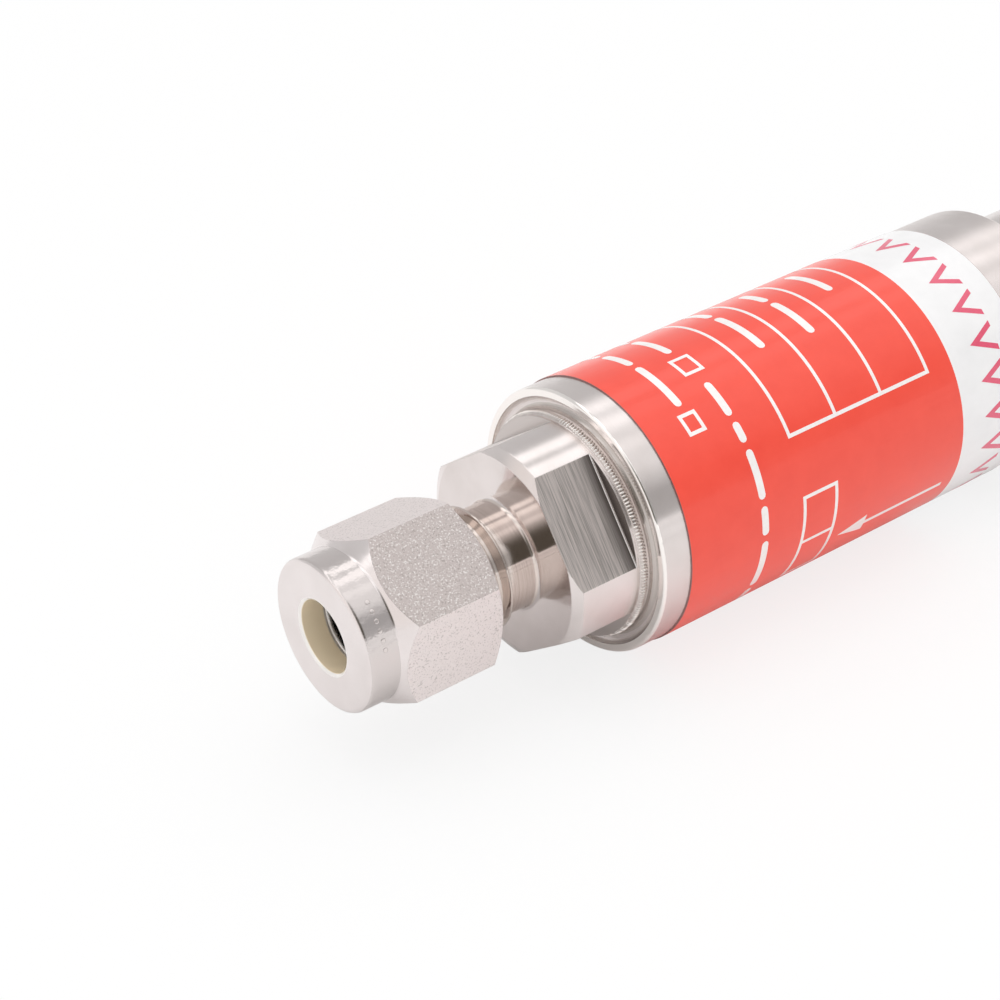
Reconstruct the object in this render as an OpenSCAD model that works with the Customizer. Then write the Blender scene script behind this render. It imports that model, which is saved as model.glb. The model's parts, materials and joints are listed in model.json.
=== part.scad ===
// In-line flame arrestor with a non-return valve, for 1/4 in tube.
// The axis of the part is X. Gas enters at +X, the inlet, and leaves at -X, the outlet.
// Both ends carry the same welded connector, tube nut and pair of ferrules.
// Turned outlines are lists of [place along the axis, radius].

/* [Body] */
// Length of the body between its two rims
body_l = 50.6; // [48:0.1:80]
// Outside diameter of the body
body_d = 24.4; // [24:0.1:32]
// Radius of the groove that leaves a thin welding lip round the body's bore
groove_r = 0.6; // [0.4:0.05:0.7]
// Rounding of the body's rims
rim_round = 0.3; // [0.2:0.05:0.5]

/* [Label] */
// Thickness of the wrapped label
label_t = 0.115; // [0.05:0.005:0.2]
// Bare length of body on the outlet side of the label
label_bare_outlet = 2.9; // [1:0.1:6]
// Bare length of body on the inlet side of the label
label_bare_inlet = 6.9; // [1:0.1:8]
// Gap where the two ends of the label meet
label_seam = 0.3; // [0.1:0.05:1]
// Turn of the label's seam about the axis, from +Y towards +Z
label_seam_turn = 310; // [200:1:350]

/* [Connector] */
// Diameter of the welded collar
collar_d = 20.24; // [19.8:0.01:21]
// Length of the collar from the weld to its face
collar_l = 7.15; // [6:0.05:10]
// Width across the collar's four wrench flats
flat_af = 17.47; // [16.5:0.01:19]
// Unmilled ring left between the flats and the weld
flat_stop = 0.85; // [0.7:0.05:2]
// Chamfer of the collar's face, measured on the radius
collar_chamfer = 0.97; // [0.4:0.01:1.2]
// Diameter of the neck between collar and thread
neck_d = 9.7; // [9.4:0.05:9.9]
// Length of the neck
neck_l = 2.7; // [2:0.1:4]
// Fillet where the neck meets the collar
neck_fillet = 0.4; // [0.2:0.05:0.6]
// Thread left showing between neck and nut
thread_shown = 2.8; // [1:0.1:4]
// Outside diameter of the thread
thread_d = 11.11; // [11:0.01:11.2]
// Pitch of the thread
thread_pitch = 1.27; // [1:0.01:1.5]
// Length of the spigot that locates the connector in the body
spigot_l = 4; // [3:0.1:6]
// Bore of the gas passage
passage_d = 4.8; // [3:0.1:5.2]

/* [Tube nut] */
// Width across the nut's flats
nut_af = 14.29; // [14.2:0.01:15]
// Length of the nut
nut_l = 13; // [12.6:0.1:14]
// Diameter of the nut's round shoulder
shoulder_d = 13.6; // [13:0.05:14]
// Length of the round shoulder
shoulder_l = 3; // [2:0.1:3.5]
// Hole for the tube, the same in nut, ferrules and socket
tube_hole_d = 6.5; // [6.4:0.01:6.6]
// Depth from the nut's face to the stop that the tube rests on
tube_depth = 15.2; // [14.6:0.1:16]

/* [Turned positions] */
// Turn of the outlet nut about the axis, from +Y towards +Z
outlet_nut_turn = 94.1; // [0:0.1:360]
// Turn of the inlet nut
inlet_nut_turn = 71; // [0:0.1:360]
// Turn of the outlet connector's flats
outlet_flat_turn = 140.7; // [0:0.1:360]
// Turn of the inlet connector's flats
inlet_flat_turn = 118; // [0:0.1:360]

/* [Flame element] */
// Outside diameter of the sintered thimble
element_d = 13.2; // [10:0.1:14]
// Wall of the thimble
element_wall = 2.4; // [1.5:0.1:3]
// Length of the thimble
element_l = 21.3; // [12:0.1:21.5]
// Thickness of the thimble's flange
element_flange_t = 2; // [1.5:0.1:3]
// Thickness of the gasket under the flange
gasket_t = 0.8; // [0.5:0.1:1.5]

/* [Non-return valve] */
// Bore of the valve's port
port_d = 6.4; // [5:0.1:6.6]
// Thickness of the seat insert
seat_t = 4; // [3.6:0.1:5]
// Height of the sealing land above the insert
land_h = 0.5; // [0.3:0.05:0.8]
// Diameter of the poppet's head
head_d = 10.4; // [10:0.1:12]
// Thickness of the poppet's head
head_t = 2; // [1.8:0.1:2.5]
// Diameter of the poppet's stem
stem_d = 4; // [3:0.1:4.2]
// Distance from seat insert to spring carrier
valve_chamber_l = 9.65; // [9:0.05:11]
// Thickness of the spring carrier's disc
carrier_t = 2.5; // [2:0.1:3]
// Number of flow holes in the spring carrier
carrier_holes = 6; // [4:1:8]
// Diameter of a flow hole in the spring carrier
carrier_hole_d = 3; // [2:0.1:3.2]
// Wire of the valve spring
spring_wire_d = 0.4; // [0.3:0.05:0.6]
// Mean diameter of the valve spring
spring_d = 6.4; // [6:0.1:7]
// Turns of the valve spring, with its two closed end turns
spring_turns = 6; // [5:1:7]

/* [Inlet strainer] */
// Diameter of the strainer disc
strainer_d = 14.94; // [12:0.01:15]
// Thickness of the strainer disc
strainer_t = 1.2; // [0.8:0.1:1.2]
// Thickness of the strainer's retaining ring
clip_t = 0.8; // [0.6:0.05:0.8]

/* [Hidden] */
$fn = 144;
slip = 0.02;
running_gap = 0.05;
edge = 0.3;

// Radii and places of the welded joint, measured outwards from the middle of the body
body_r = body_d / 2;
collar_r = collar_d / 2;
lip_r = collar_r + 0.13;
lip_t = 0.95;
bore_r = lip_r - lip_t;
fit_r = bore_r - slip;
rim_a = body_l / 2;
weld_a = rim_a + 0.35;
bead_r = 0.3;
bead_a = weld_a + 0.25;
bead_sink = 0.1;
spigot_a = weld_a - spigot_l;

// Places along one end fitting
collar_face_a = weld_a + collar_l;
flat_back_a = weld_a + flat_stop;
neck_r = neck_d / 2;
thread_a = collar_face_a + neck_l;
nut_back_a = thread_a + thread_shown;
nut_face_a = nut_back_a + nut_l;
tube_stop_a = nut_face_a - tube_depth;
tube_r = tube_hole_d / 2;
passage_r = passage_d / 2;
thread_r = thread_d / 2;

// Compression seat: the connector's coned mouth and the pocket in the nut
nose_a = nut_face_a - 6;
nose_chamfer = 0.25;
mouth_r = tube_r + 1.1;
mouth_l = 3;
mouth_slope = (mouth_r - tube_r) / mouth_l;
thread_turns = floor((nose_a - 0.6 - thread_a) / thread_pitch);
nut_wall_a = nut_face_a - 2.3;
pocket_r = tube_r + 1.85;
pocket_a = nose_a + 0.9;
ferrule_r = tube_r + 1.35;
ferrule_joint_a = nut_wall_a - 2.1;
ferrule_nose_l = 0.9;

// Nut outline
shoulder_r = shoulder_d / 2;
shoulder_a = nut_face_a - shoulder_l;
shoulder_round = 0.45;
shoulder_cove = 0.4;
nut_corner_r = nut_af / 2 / cos(30);
nut_clear_r = nut_corner_r + 0.2;
nut_back_r = nut_af / 2 - 0.045;
nut_mouth_chamfer = 0.2;

// Label
label_gap = 0.005;
label_x0 = -rim_a + label_bare_outlet;
label_x1 = rim_a - label_bare_inlet;

// Stack of inner pieces, from the outlet spigot at -X to the inlet spigot at +X
sleeve_r = bore_r - 1;
flange_x0 = -spigot_a + gasket_t;
flange_x1 = flange_x0 + element_flange_t;
element_x1 = flange_x0 + element_l;
element_r = element_d / 2;
element_bore_r = element_r - element_wall;
element_round = 2;
seat_x0 = spigot_a - seat_t;
land_x = seat_x0 - land_h;
land_w = 1.1;
port_r = port_d / 2;
carrier_x1 = seat_x0 - valve_chamber_l;
carrier_x0 = carrier_x1 - carrier_t;
carrier_hub_r = stem_d / 2 + 1.6;
carrier_hub_l = 1.5;
carrier_ring_r = (carrier_hub_r + sleeve_r) / 2 + 0.2;

// O-ring round the seat insert
oring_r = 0.73;
oring_groove_r = bore_r - 1.5;
oring_groove_w = 1.8;
oring_a = seat_x0 + seat_t / 2;

// Poppet
seal_proud = 0.25;
seal_depth = 1;
seal_r0 = port_r + 0.1;
seal_r1 = seal_r0 + 1.5;
head_r = head_d / 2;
head_x1 = land_x - slip - seal_proud;
head_x0 = head_x1 - head_t;
stem_r = stem_d / 2;
stem_x0 = carrier_x0 - carrier_hub_l - 0.4;
spring_pilot_r = spring_d / 2 - spring_wire_d / 2 - 0.35;
spring_pilot_l = 0.6;
poppet_nose_l = 1.1;
poppet_nose_r = port_r - 0.7;

// Spring
spring_sides = 8;
spring_steps = 24;
spring_wire_r = spring_wire_d / 2;
spring_x0 = carrier_x1 + slip + spring_wire_r;
spring_x1 = head_x0 - slip - spring_wire_r;
spring_closed = spring_wire_d * 1.05;
spring_pitch = (spring_x1 - spring_x0 - 2 * spring_closed) / (spring_turns - 2);

// Strainer in the inlet connector
strainer_r = strainer_d / 2;
strainer_pocket_r = strainer_r + 0.03;
strainer_pocket_a = spigot_a + 2.5;
strainer_x0 = strainer_pocket_a - strainer_t;
clip_x0 = strainer_x0 - clip_t;
clip_r = strainer_r + 0.43;
clip_w = 1.3;
clip_gap = 40;
clip_lug_r = 1.1;
clip_lug_hole_r = 0.45;
diffuser_l = 2.85;

steel = [0.80, 0.79, 0.78];
nut_steel = [0.82, 0.81, 0.80];
sinter = [0.56, 0.54, 0.51];
black = [0.12, 0.12, 0.12];
red = [0.91, 0.26, 0.20];
white_seal = [0.93, 0.93, 0.90];

// Points of an arc about a centre, from one angle to another
function arc(centre, radius, from, to, steps = 8) =
    [for (i = [0:steps])
        let (angle = from + (to - from) * i / steps)
        centre + radius * [cos(angle), sin(angle)]];

// Stands a shape that was made along Z on the X axis, with its own X at the given turn
module along_x(turn = 0) {
    rotate([0, 90, 0]) rotate([0, 0, turn + 90]) children();
}

// Turned solid from a closed outline of [place, radius]
module turned(outline) {
    along_x() rotate_extrude() polygon([for (p = outline) [p[1], p[0]]]);
}

// Ring with square edges
module plain_ring(x0, x1, inner, outer) {
    turned([[x0, inner], [x1, inner], [x1, outer], [x0, outer]]);
}

// Every end piece is drawn at the inlet, and this puts it at the outlet
module at_outlet() {
    mirror([1, 0, 0]) children();
}

// One end of the body: rounded rim, coved groove and welding lip
function body_end() = concat(
    arc([rim_a - rim_round, body_r - rim_round], rim_round, 90, 0),
    arc([rim_a, lip_r + groove_r], groove_r, 90, 270, 12),
    [[weld_a, lip_r], [weld_a, bore_r]]
);

module body_shell() {
    inlet_end = body_end();
    outlet_end = [for (i = [len(inlet_end) - 1:-1:0]) [-inlet_end[i][0], inlet_end[i][1]]];
    color(steel) turned(concat(inlet_end, outlet_end));
}

module label_wrap() {
    color(red) difference() {
        plain_ring(label_x0, label_x1, body_r + label_gap, body_r + label_gap + label_t);
        rotate([label_seam_turn, 0, 0])
            translate([label_x0 - 1, body_r - 1, -label_seam / 2])
                cube([label_x1 - label_x0 + 2, 2, label_seam]);
    }
}

// Root, flank and crest points of the thread, one set for each turn
function thread_outline() =
    [for (i = [0:thread_turns - 1])
        let (crest_a = thread_a + thread_pitch * (i + 0.5))
        each [
            [crest_a - thread_pitch * 3 / 8, neck_r],
            [crest_a - thread_pitch / 16, thread_r],
            [crest_a + thread_pitch / 16, thread_r],
            [crest_a + thread_pitch * 3 / 8, neck_r]
        ]];

// Outside of a connector: spigot, weld bead, collar, neck and thread, up to its nose
function connector_outside() = concat(
    [[spigot_a, fit_r - edge], [spigot_a + edge, fit_r], [weld_a, fit_r]],
    arc([bead_a, collar_r - bead_sink], bead_r,
        180 - acos((bead_a - weld_a) / bead_r), asin(bead_sink / bead_r)),
    [[collar_face_a - collar_chamfer * 0.57, collar_r], [collar_face_a, collar_r - collar_chamfer]],
    arc([collar_face_a + neck_fillet, neck_r + neck_fillet], neck_fillet, 180, 270),
    thread_outline(),
    [[nose_a - nose_chamfer, neck_r], [nose_a, neck_r - nose_chamfer]]
);

// Coned mouth, tube socket and stop, as seen from the nose inwards
function tube_socket() = [
    [nose_a, mouth_r], [nose_a - mouth_l, tube_r], [tube_stop_a, tube_r], [tube_stop_a, passage_r]
];

// Connector with its wrench flats, closed by the outline of its inner passage
module connector(turn, passage) {
    difference() {
        turned(concat(connector_outside(), tube_socket(), passage));
        for (quarter = [0:3])
            rotate([turn + quarter * 90, 0, 0])
                translate([flat_back_a, flat_af / 2, -collar_r])
                    cube([collar_face_a - flat_back_a + 1, collar_r, collar_d]);
    }
}

module outlet_connector() {
    flare = element_bore_r - passage_r;
    color(steel) at_outlet()
        connector(outlet_flat_turn, [[spigot_a + flare, passage_r], [spigot_a, element_bore_r]]);
}

module inlet_connector() {
    color(steel) connector(inlet_flat_turn, [
        [strainer_pocket_a + diffuser_l, passage_r],
        [strainer_pocket_a, passage_r + diffuser_l],
        [strainer_pocket_a, strainer_pocket_r],
        [strainer_x0, strainer_pocket_r],
        [strainer_x0, clip_r + running_gap],
        [clip_x0 - slip, clip_r + running_gap],
        [clip_x0 - slip, strainer_pocket_r],
        [spigot_a, strainer_pocket_r]
    ]);
}

// Outside of a nut before its six sides are cut
function nut_outside() = concat(
    [[nut_back_a, 0], [nut_back_a, nut_back_r]],
    [[nut_back_a + (nut_clear_r - nut_back_r) * tan(30), nut_clear_r]],
    [[shoulder_a - (nut_clear_r - shoulder_r), nut_clear_r]],
    arc([shoulder_a + shoulder_cove * (sqrt(2) - 1), shoulder_r + shoulder_cove], shoulder_cove, 225, 270),
    arc([nut_face_a - shoulder_round, shoulder_r - shoulder_round], shoulder_round, 90, 0),
    [[nut_face_a, 0]]
);

// Inside of a nut: thread space, ferrule pocket, driving cone and tube hole
function nut_inside() = [
    [nut_back_a - 1, 0], [nut_back_a - 1, thread_r + 0.55], [nut_back_a, thread_r + 0.55],
    [nut_back_a + 0.5, thread_r + running_gap], [pocket_a, thread_r + running_gap],
    [pocket_a, pocket_r], [nut_wall_a - (pocket_r - tube_r), pocket_r], [nut_wall_a, tube_r],
    [nut_face_a - nut_mouth_chamfer, tube_r], [nut_face_a, tube_r + nut_mouth_chamfer],
    [nut_face_a + 1, tube_r + nut_mouth_chamfer], [nut_face_a + 1, 0]
];

module nut(turn) {
    difference() {
        intersection() {
            along_x(turn) translate([0, 0, nut_back_a - 1])
                cylinder(r = nut_corner_r, h = nut_l + 2, $fn = 6);
            turned(nut_outside());
        }
        turned(nut_inside());
    }
}

module outlet_nut() {
    color(nut_steel) at_outlet() nut(outlet_nut_turn);
}

module inlet_nut() {
    color(nut_steel) nut(inlet_nut_turn);
}

// Back ferrule: its coned back lies on the nut's driving cone, its nose enters the front ferrule
module back_ferrule() {
    back_lip = 0.2;
    back_a = nut_wall_a - back_lip - 0.03;
    turned([
        [back_a, tube_r], [back_a, tube_r + back_lip],
        [back_a - (ferrule_r - tube_r - back_lip), ferrule_r], [ferrule_joint_a, ferrule_r],
        [ferrule_joint_a, tube_r + 0.7], [ferrule_joint_a - ferrule_nose_l, tube_r + 0.35],
        [ferrule_joint_a - ferrule_nose_l, tube_r]
    ]);
}

// Front ferrule: its cone lies in the connector's mouth, its back takes the back ferrule's nose
module front_ferrule() {
    tip_a = nose_a - mouth_l * 0.8;
    shoulder_end_a = nose_a + 0.5;
    turned([
        [ferrule_joint_a, tube_r + 0.7 + slip], [ferrule_joint_a, ferrule_r - 0.05],
        [shoulder_end_a, ferrule_r - 0.05],
        [shoulder_end_a, mouth_r - slip + mouth_slope * (shoulder_end_a - nose_a)],
        [tip_a, mouth_r - slip + mouth_slope * (tip_a - nose_a)], [tip_a, tube_r],
        [ferrule_joint_a - ferrule_nose_l - slip, tube_r],
        [ferrule_joint_a - ferrule_nose_l - slip, tube_r + 0.35 + slip]
    ]);
}

module outlet_back_ferrule() {
    color(steel) at_outlet() back_ferrule();
}

module outlet_front_ferrule() {
    color(steel) at_outlet() front_ferrule();
}

module inlet_back_ferrule() {
    color(steel) back_ferrule();
}

module inlet_front_ferrule() {
    color(steel) front_ferrule();
}

module element_gasket() {
    color(white_seal) plain_ring(-spigot_a, flange_x0, element_bore_r + edge, fit_r - edge);
}

// Sintered thimble: gas comes in through its wall and leaves by its open end
module flame_element() {
    color(sinter) turned(concat(
        [[flange_x0, element_bore_r], [flange_x0, fit_r], [flange_x1, fit_r], [flange_x1, element_r]],
        arc([element_x1 - element_round, element_r - element_round], element_round, 90, 0),
        [[element_x1, 0], [element_x1 - element_wall, 0], [element_x1 - element_wall, element_bore_r]]
    ));
}

module element_sleeve() {
    color(steel) plain_ring(flange_x1, carrier_x0, sleeve_r, fit_r);
}

// Disc that guides the poppet's stem and bears the spring
module spring_carrier() {
    color(steel) difference() {
        turned([
            [carrier_x0 - carrier_hub_l, stem_r + running_gap], [carrier_x1, stem_r + running_gap],
            [carrier_x1, fit_r], [carrier_x0, fit_r], [carrier_x0, carrier_hub_r],
            [carrier_x0 - carrier_hub_l, carrier_hub_r]
        ]);
        for (i = [0:carrier_holes - 1])
            rotate([i * 360 / carrier_holes, 0, 0])
                translate([carrier_x0 - 1, carrier_ring_r, 0])
                    along_x() cylinder(d = carrier_hole_d, h = carrier_t + 2);
    }
}

// Place along the axis of the spring's wire after a number of turns
function spring_place(turns) =
    turns < 1 ? spring_x0 + spring_closed * turns
    : turns > spring_turns - 1 ? spring_x1 - spring_closed * (spring_turns - turns)
    : spring_x0 + spring_closed + spring_pitch * (turns - 1);

// Wire of round section along a helix, with closed end turns
module valve_spring() {
    rings = spring_turns * spring_steps;
    points = [for (i = [0:rings], j = [0:spring_sides - 1])
        let (
            turn = 360 * i / spring_steps,
            side = 360 * j / spring_sides,
            radius = spring_d / 2 + spring_wire_r * cos(side)
        )
        [spring_place(i / spring_steps) + spring_wire_r * sin(side), radius * cos(turn), radius * sin(turn)]];
    walls = [for (i = [0:rings - 1], j = [0:spring_sides - 1])
        let (
            a = i * spring_sides + j,
            b = i * spring_sides + (j + 1) % spring_sides
        )
        each [[a, b, b + spring_sides], [a, b + spring_sides, a + spring_sides]]];
    first_end = [[for (j = [spring_sides - 1:-1:0]) j]];
    last_end = [[for (j = [0:spring_sides - 1]) rings * spring_sides + j]];
    color(steel) polyhedron(points, concat(walls, first_end, last_end));
}

// Poppet: guided stem, spring pilot, grooved head and a nose that enters the port
module poppet() {
    color(steel) turned([
        [stem_x0, 0], [stem_x0, stem_r - edge], [stem_x0 + edge, stem_r],
        [head_x0 - spring_pilot_l, stem_r], [head_x0 - spring_pilot_l, spring_pilot_r],
        [head_x0, spring_pilot_r], [head_x0, head_r - edge], [head_x0 + edge, head_r],
        [head_x1, head_r], [head_x1, seal_r1], [head_x1 - seal_depth, seal_r1],
        [head_x1 - seal_depth, seal_r0], [head_x1, seal_r0],
        [head_x1 + poppet_nose_l, poppet_nose_r - 0.8], [head_x1 + poppet_nose_l, 0]
    ]);
}

module poppet_seal() {
    color(black)
        plain_ring(head_x1 - seal_depth, head_x1 + seal_proud, seal_r0 + slip, seal_r1 - slip);
}

module seat_sleeve() {
    color(steel) plain_ring(carrier_x1, seat_x0, sleeve_r, fit_r);
}

// Seat insert with its raised sealing land, coned entry and O-ring groove
module valve_seat() {
    entry = 1.2;
    color(steel) turned([
        [land_x, port_r], [land_x, port_r + land_w], [seat_x0, port_r + land_w + land_h],
        [seat_x0, fit_r],
        [oring_a - oring_groove_w / 2, fit_r], [oring_a - oring_groove_w / 2, oring_groove_r],
        [oring_a + oring_groove_w / 2, oring_groove_r], [oring_a + oring_groove_w / 2, fit_r],
        [spigot_a, fit_r], [spigot_a, port_r + entry], [spigot_a - entry, port_r]
    ]);
}

module seat_oring() {
    color(black) translate([oring_a, 0, 0])
        along_x() rotate_extrude() translate([oring_groove_r + 0.01 + oring_r, 0]) circle(oring_r);
}

module strainer_disc() {
    color(sinter) turned([
        [strainer_x0, 0], [strainer_pocket_a, 0], [strainer_pocket_a, strainer_r], [strainer_x0, strainer_r]
    ]);
}

// Sprung ring, open at the bottom, with a plier hole in each of its lugs
module strainer_clip() {
    color(steel) difference() {
        union() {
            difference() {
                plain_ring(clip_x0, strainer_x0, clip_r - clip_w, clip_r);
                for (side = [-1, 1])
                    rotate([270 + side * clip_gap / 4, 0, 0])
                        translate([clip_x0 - 1, 0, -clip_r * sin(clip_gap / 4)])
                            cube([clip_t + 2, clip_r + 1, 2 * clip_r * sin(clip_gap / 4)]);
            }
            for (side = [-1, 1])
                rotate([270 + side * (clip_gap / 2 + 8), 0, 0])
                    translate([clip_x0, clip_r - clip_w - clip_lug_r * 0.6, 0])
                        along_x() cylinder(r = clip_lug_r, h = clip_t);
        }
        for (side = [-1, 1])
            rotate([270 + side * (clip_gap / 2 + 8), 0, 0])
                translate([clip_x0 - 1, clip_r - clip_w - clip_lug_r * 0.6, 0])
                    along_x() cylinder(r = clip_lug_hole_r, h = clip_t + 2);
    }
}

body_shell();
label_wrap();
outlet_connector();
outlet_front_ferrule();
outlet_back_ferrule();
outlet_nut();
inlet_connector();
inlet_front_ferrule();
inlet_back_ferrule();
inlet_nut();
element_gasket();
flame_element();
element_sleeve();
spring_carrier();
valve_spring();
poppet();
poppet_seal();
seat_sleeve();
valve_seat();
seat_oring();
strainer_disc();
strainer_clip();
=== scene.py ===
# %% [markdown]
# # A flame arrestor, finished in Blender
# The solids come from the CAD model and stay as they are. This lesson gives them a camera, light and
# finishes, and adds what turned solids lack: weld ripples, print, raised dots, and a wound spring coil.
# Everything is in metres in the frame of the CAD model: the axis is X, the outlet is at -X, and Z is up.

# %% Load the solids
import json
import math

import bmesh
import bpy
from mathutils import Matrix, Vector


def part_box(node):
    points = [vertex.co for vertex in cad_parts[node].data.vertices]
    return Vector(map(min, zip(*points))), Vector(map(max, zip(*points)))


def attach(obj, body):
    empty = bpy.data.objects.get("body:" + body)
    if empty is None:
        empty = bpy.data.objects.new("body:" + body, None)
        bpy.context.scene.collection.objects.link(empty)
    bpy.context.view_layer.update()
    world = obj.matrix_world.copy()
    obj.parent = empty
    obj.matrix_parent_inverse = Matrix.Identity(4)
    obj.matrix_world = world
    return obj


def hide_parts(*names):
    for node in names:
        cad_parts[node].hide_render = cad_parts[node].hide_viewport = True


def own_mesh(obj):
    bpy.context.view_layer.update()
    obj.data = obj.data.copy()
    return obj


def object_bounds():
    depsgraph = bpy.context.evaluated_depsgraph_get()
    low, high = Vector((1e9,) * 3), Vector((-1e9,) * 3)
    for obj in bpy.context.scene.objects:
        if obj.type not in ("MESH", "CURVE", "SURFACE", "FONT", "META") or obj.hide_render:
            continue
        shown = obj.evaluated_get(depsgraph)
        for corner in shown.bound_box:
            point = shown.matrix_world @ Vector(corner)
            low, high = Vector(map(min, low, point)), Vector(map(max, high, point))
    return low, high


MM = 0.001


def in_mm(box):
    """The two corners of a box in mm, to read."""
    return [[round(value / MM, 2) for value in corner] for corner in box]


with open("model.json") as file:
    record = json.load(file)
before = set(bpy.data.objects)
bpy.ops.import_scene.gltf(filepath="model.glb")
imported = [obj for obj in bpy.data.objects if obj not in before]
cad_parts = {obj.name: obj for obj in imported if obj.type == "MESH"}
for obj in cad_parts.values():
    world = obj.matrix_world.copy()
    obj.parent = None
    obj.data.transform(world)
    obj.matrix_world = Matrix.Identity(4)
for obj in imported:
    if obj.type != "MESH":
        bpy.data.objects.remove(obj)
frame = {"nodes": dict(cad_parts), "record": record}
cad_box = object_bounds()
nodes = frame["nodes"]
scene = bpy.context.scene
scene.view_settings.view_transform = "Standard"
print("solids:", len(nodes))
print("box in mm:", in_mm(cad_box))

# %% [markdown]
# ## The camera
# A small part is photographed from close by, so the near nut looks much larger than the far end of the
# body. A longer lens from further off would flatten that, so the distance matters as much as the angle. A
# camera object looks along its own -Z with its own +Y up. Three angles could turn it, but a matrix from
# three directions, right, up and back, is easier to read.

# %% Place the camera
EYE = Vector((-0.13668, -0.13360, 0.12650))
LOOK = Vector((0.4984, 0.6430, -0.5814)).normalized()
UPWARDS = Vector((0, 0, 1))
FOCAL_MM = 89.97
SENSOR_MM = 36.0
NEAREST = 0.01

right = LOOK.cross(UPWARDS).normalized()
up = right.cross(LOOK)
camera_data = bpy.data.cameras.new("photo_camera")
camera_data.lens = FOCAL_MM
camera_data.sensor_width = SENSOR_MM
camera_data.clip_start = NEAREST
camera = bpy.data.objects.new("photo_camera", camera_data)
turned_to_part = Matrix((right, up, -LOOK)).transposed().to_4x4()
camera.matrix_world = Matrix.Translation(EYE) @ turned_to_part
scene.collection.objects.link(camera)
scene.camera = camera
print("camera to axis in mm:", round(EYE.length / MM, 1))

# %% [markdown]
# ## Nodes in short
# Every finish below is a small tree of nodes. A few helpers keep the trees readable: they add a node, fill
# its inputs with plain values or with other nodes' outputs, and give back the output that the next node
# needs.

# %% Helpers for node trees
def set_inputs(tree, node, inputs):
    """Fills a node's inputs with plain values or with outputs of other nodes."""
    for key, value in inputs.items():
        if isinstance(value, bpy.types.NodeSocket):
            tree.links.new(value, node.inputs[key])
        else:
            node.inputs[key].default_value = value


def add(tree, kind, settings=None, inputs=None):
    """Adds one node, sets it up and fills its inputs."""
    made = tree.nodes.new(kind)
    for name, value in (settings or {}).items():
        setattr(made, name, value)
    set_inputs(tree, made, inputs or {})
    return made


def calc(tree, operation, *values):
    """The result of one sum."""
    return add(tree, "ShaderNodeMath", {"operation": operation}, dict(enumerate(values))).outputs[0]


def vector_calc(tree, operation, *vectors):
    """The result of one sum on vectors: a number for a length or a dot product, and otherwise a vector."""
    made = add(tree, "ShaderNodeVectorMath", {"operation": operation}, dict(enumerate(vectors)))
    return made.outputs["Value" if operation in ("LENGTH", "DOT_PRODUCT") else "Vector"]


def scaled(tree, vector, factor):
    """A vector made longer or shorter."""
    made = add(tree, "ShaderNodeVectorMath", {"operation": "SCALE"}, {0: vector, "Scale": factor})
    return made.outputs["Vector"]


def split_up(tree, vector):
    """A vector's X, Y and Z."""
    return add(tree, "ShaderNodeSeparateXYZ", {}, {0: vector}).outputs


def joined(tree, x, y, z):
    """A vector from its X, Y and Z."""
    return add(tree, "ShaderNodeCombineXYZ", {}, {"X": x, "Y": y, "Z": z}).outputs[0]


def mixed(tree, share, plain, other):
    """A colour that goes from a plain one to another one by a share."""
    made = add(tree, "ShaderNodeMix", {"data_type": "RGBA"}, {"Factor": share, "A": plain, "B": other})
    return made.outputs["Result"]


def soft_step(tree, value, low, high):
    """0 below a low limit, 1 above a high one, and a smooth way between them."""
    return add(tree, "ShaderNodeMapRange", {"interpolation_type": "SMOOTHSTEP"}, {
        "Value": value, "From Min": low, "From Max": high}).outputs[0]


def either_shader(tree, chosen, plain, other):
    """One shader where a mask is 0 and another one where it is 1."""
    return add(tree, "ShaderNodeMixShader", {}, {0: chosen, 1: plain, 2: other}).outputs[0]


print("node helpers ready")

# %% [markdown]
# ## Studio light
# Polished steel is a mirror, so it looks like whatever stands round it. The part lies on a white table in a
# light tent: the back wall is pale, two long strip lights hang overhead, and the open front shows a dimmer
# room with one darker patch. Panels could be modelled, but it all runs along the part, so it is one ramp
# over the turn about the axis, from the back wall at 0 over the top to the front at 180 degrees. Only the
# tent's two ends are plain white. The camera sees a white backdrop, and every other ray sees the tent.

# %% The tent as a ramp
WHITE = (1.0, 1.0, 1.0, 1.0)
HALF_TURN_DEG = 180
TENT_FRONT_DEG = 165.0
TENT = (
    (0, 0.74), (40, 0.66), (48, 0.70), (52, 1.50), (61, 1.50), (64, 0.80), (68, 0.80), (71, 1.50),
    (79, 1.45), (84, 1.06), (92, 1.00), (95, 1.22), (102, 1.20), (107, 1.03), (120, 1.02), (130, 0.80),
    (143, 0.49), (157, 0.52), (TENT_FRONT_DEG, 0.58), (166.5, 1.20), (168.5, 1.15), (171, 0.88),
    (175, 1.05), (HALF_TURN_DEG, 1.08))

world = bpy.data.worlds.new("studio")
scene.world = world
world.use_nodes = True
tree = world.node_tree
tree.nodes.clear()
way = add(tree, "ShaderNodeTexCoord").outputs["Generated"]
split = split_up(tree, way)
turn = calc(tree, "ARCTAN2", split["Z"], split["Y"])
tent = add(tree, "ShaderNodeValToRGB", {}, {0: calc(tree, "DIVIDE", turn, math.pi)})
stops = tent.color_ramp.elements
while len(stops) < len(TENT):
    stops.new(0.5)
for stop, (turn_deg, level) in zip(stops, TENT):
    stop.position = turn_deg / HALF_TURN_DEG
    # The ramp's alpha says where the dark patch may lie: not past the front edge of the tent.
    stop.color = (level, level, level, 1.0 if turn_deg <= TENT_FRONT_DEG else 0.0)
print("stops:", len(stops), "brightest:", max(stop.color[0] for stop in stops))

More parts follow.
